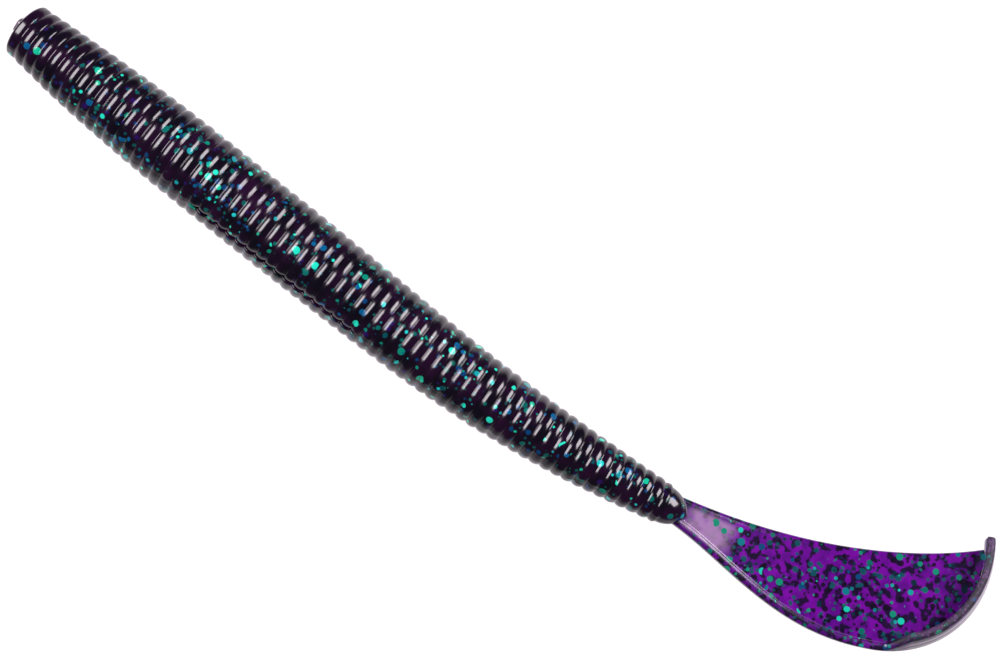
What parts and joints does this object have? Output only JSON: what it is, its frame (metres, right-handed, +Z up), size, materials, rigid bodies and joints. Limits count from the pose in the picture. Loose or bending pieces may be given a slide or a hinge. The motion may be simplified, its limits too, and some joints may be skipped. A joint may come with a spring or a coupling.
{
  "type": "soft plastic worm lure",
  "caption": "Ribbed soft plastic fishing worm with a blunt nose, a hook slot along its belly and a flat tail blade that sweeps to one side and ends in a raised lip.",
  "frame": {"origin": "under the middle of the worm, on the table it lies on", "axes": "+X from the nose to the tail, +Y the side the tail sweeps to, +Z up"},
  "size_m": [0.15, 0.0298, 0.0112],
  "materials": {
    "body_vinyl": "glossy dark purple-black vinyl with green and blue flakes",
    "tail_vinyl": "glossy clear purple vinyl with black and green flakes"
  },
  "bodies": {
    "nose_link": {"nose_link": "body_vinyl"},
    "body_link_02": {"body_link_02": "body_vinyl"},
    "body_link_03": {"body_link_03": "body_vinyl"},
    "body_link_04": {"body_link_04": "body_vinyl"},
    "body_link_05": {"body_link_05": "body_vinyl"},
    "body_link_06": {"body_link_06": "body_vinyl"},
    "body_link_07": {"body_link_07": "body_vinyl"},
    "body_link_08": {"body_link_08": "body_vinyl"},
    "body_link_09": {"body_link_09": "body_vinyl"},
    "body_link_10": {"body_link_10": "body_vinyl"},
    "body_link_11": {"body_link_11": "body_vinyl"},
    "body_link_12": {"body_link_12": "body_vinyl"},
    "body_link_13": {"body_link_13": "body_vinyl"},
    "body_link_14": {"body_link_14": "body_vinyl"},
    "body_link_15": {"body_link_15": "body_vinyl"},
    "body_link_16": {"body_link_16": "body_vinyl"},
    "tail_base_link": {"tail_base_link": "body_vinyl"},
    "tail_blade_1": {"tail_blade_1": "tail_vinyl"},
    "tail_blade_2": {"tail_blade_2": "tail_vinyl"},
    "tail_blade_3": {"tail_blade_3": "tail_vinyl"},
    "tail_blade_4": {"tail_blade_4": "tail_vinyl"},
    "tail_end_with_lip": {"tail_end_with_lip": "tail_vinyl"}
  },
  "joints": [
    {"name": "bend_01_sideways", "type": "hinge", "parent": "body_link_02", "child": "nose_link", "pos_m": [-0.06998, -0.00683, 0.00444], "axis": [-0.0799, 0.005, 0.9968], "range_deg": [-14, 14], "stiffness_Nm_per_rad": 0.0124},
    {"name": "bend_02_up_down", "type": "hinge", "parent": "body_link_03", "child": "body_link_02", "pos_m": [-0.06362, -0.00723, 0.00495], "axis": [0.0454, 0.999, 0], "range_deg": [-14, 14], "stiffness_Nm_per_rad": 0.0161},
    {"name": "bend_03_sideways", "type": "hinge", "parent": "body_link_04", "child": "body_link_03", "pos_m": [-0.05723, -0.00752, 0.00532], "axis": [0.0346, -0.0016, -0.9994], "range_deg": [-14, 14], "stiffness_Nm_per_rad": 0.0186},
    {"name": "bend_04_up_down", "type": "hinge", "parent": "body_link_05", "child": "body_link_04", "pos_m": [-0.05084, -0.00781, 0.00554], "axis": [-0.0454, -0.999, 0], "range_deg": [-14, 14], "stiffness_Nm_per_rad": 0.0196},
    {"name": "bend_05_sideways", "type": "hinge", "parent": "body_link_06", "child": "body_link_05", "pos_m": [-0.04445, -0.0081, 0.00563], "axis": [0.0012, -0.0001, -1], "range_deg": [-14, 14], "stiffness_Nm_per_rad": 0.0196},
    {"name": "bend_06_up_down", "type": "hinge", "parent": "body_link_07", "child": "body_link_06", "pos_m": [-0.03806, -0.00839, 0.00564], "axis": [-0.0454, -0.999, 0], "range_deg": [-14, 14], "stiffness_Nm_per_rad": 0.0194},
    {"name": "bend_07_sideways", "type": "hinge", "parent": "body_link_08", "child": "body_link_07", "pos_m": [-0.03166, -0.00868, 0.00563], "axis": [0.0058, -0.0003, 1], "range_deg": [-14, 14], "stiffness_Nm_per_rad": 0.0188},
    {"name": "bend_08_up_down", "type": "hinge", "parent": "body_link_09", "child": "body_link_08", "pos_m": [-0.02527, -0.00897, 0.00559], "axis": [0.0454, 0.999, 0], "range_deg": [-14, 14], "stiffness_Nm_per_rad": 0.0181},
    {"name": "bend_09_sideways", "type": "hinge", "parent": "body_link_09", "child": "body_link_10", "pos_m": [-0.01888, -0.00926, 0.00552], "axis": [0.0174, -0.0008, 0.9998], "range_deg": [-14, 14], "stiffness_Nm_per_rad": 0.017},
    {"name": "bend_10_up_down", "type": "hinge", "parent": "body_link_10", "child": "body_link_11", "pos_m": [-0.01248, -0.00955, 0.00541], "axis": [-0.0364, -0.9993, 0], "range_deg": [-14, 14], "stiffness_Nm_per_rad": 0.0154},
    {"name": "bend_11_sideways", "type": "hinge", "parent": "body_link_11", "child": "body_link_12", "pos_m": [-0.00609, -0.00979, 0.00525], "axis": [-0.0331, 0.0005, -0.9995], "range_deg": [-14, 14], "stiffness_Nm_per_rad": 0.0133},
    {"name": "bend_12_up_down", "type": "hinge", "parent": "body_link_12", "child": "body_link_13", "pos_m": [0.0003, -0.00989, 0.00504], "axis": [-0.0118, 0.9999, 0], "range_deg": [-14, 14], "stiffness_Nm_per_rad": 0.011},
    {"name": "bend_13_sideways", "type": "hinge", "parent": "body_link_13", "child": "body_link_14", "pos_m": [0.0067, -0.00981, 0.00477], "axis": [-0.0523, -0.0023, -0.9986], "range_deg": [-14, 14], "stiffness_Nm_per_rad": 0.0085},
    {"name": "bend_14_up_down", "type": "hinge", "parent": "body_link_14", "child": "body_link_15", "pos_m": [0.01308, -0.00954, 0.00443], "axis": [-0.0739, 0.9973, 0], "range_deg": [-14, 14], "stiffness_Nm_per_rad": 0.006},
    {"name": "bend_15_sideways", "type": "hinge", "parent": "body_link_15", "child": "body_link_16", "pos_m": [0.01945, -0.00907, 0.00403], "axis": [0.0744, 0.0075, 0.9972], "range_deg": [-14, 14], "stiffness_Nm_per_rad": 0.004},
    {"name": "bend_16_up_down", "type": "hinge", "parent": "body_link_16", "child": "tail_base_link", "pos_m": [0.0258, -0.00843, 0.00355], "axis": [0.118, -0.993, 0], "range_deg": [-14, 14], "stiffness_Nm_per_rad": 0.004},
    {"name": "tail_twist", "type": "hinge", "parent": "tail_base_link", "child": "tail_blade_1", "pos_m": [0.03762, -0.00702, 0.00251], "axis": [0.9892, 0.1175, -0.087], "range_deg": [-20, 20], "stiffness_Nm_per_rad": 0.003},
    {"name": "tail_flap_1", "type": "hinge", "parent": "tail_blade_1", "child": "tail_blade_2", "pos_m": [0.04356, -0.00632, 0.00199], "axis": [0.1289, -0.9819, 0.1386], "range_deg": [-16, 16], "stiffness_Nm_per_rad": 0.003},
    {"name": "tail_flap_2", "type": "hinge", "parent": "tail_blade_2", "child": "tail_blade_3", "pos_m": [0.04951, -0.00558, 0.00169], "axis": [0.1289, -0.9819, 0.1386], "range_deg": [-16, 16], "stiffness_Nm_per_rad": 0.003},
    {"name": "tail_flap_3", "type": "hinge", "parent": "tail_blade_3", "child": "tail_blade_4", "pos_m": [0.05546, -0.0048, 0.00167], "axis": [0.1289, -0.9819, 0.1386], "range_deg": [-16, 16], "stiffness_Nm_per_rad": 0.003},
    {"name": "tail_flap_4", "type": "hinge", "parent": "tail_blade_4", "child": "tail_end_with_lip", "pos_m": [0.0614, -0.00399, 0.00191], "axis": [0.1289, -0.9819, 0.1386], "range_deg": [-16, 16], "stiffness_Nm_per_rad": 0.003}
  ]
}
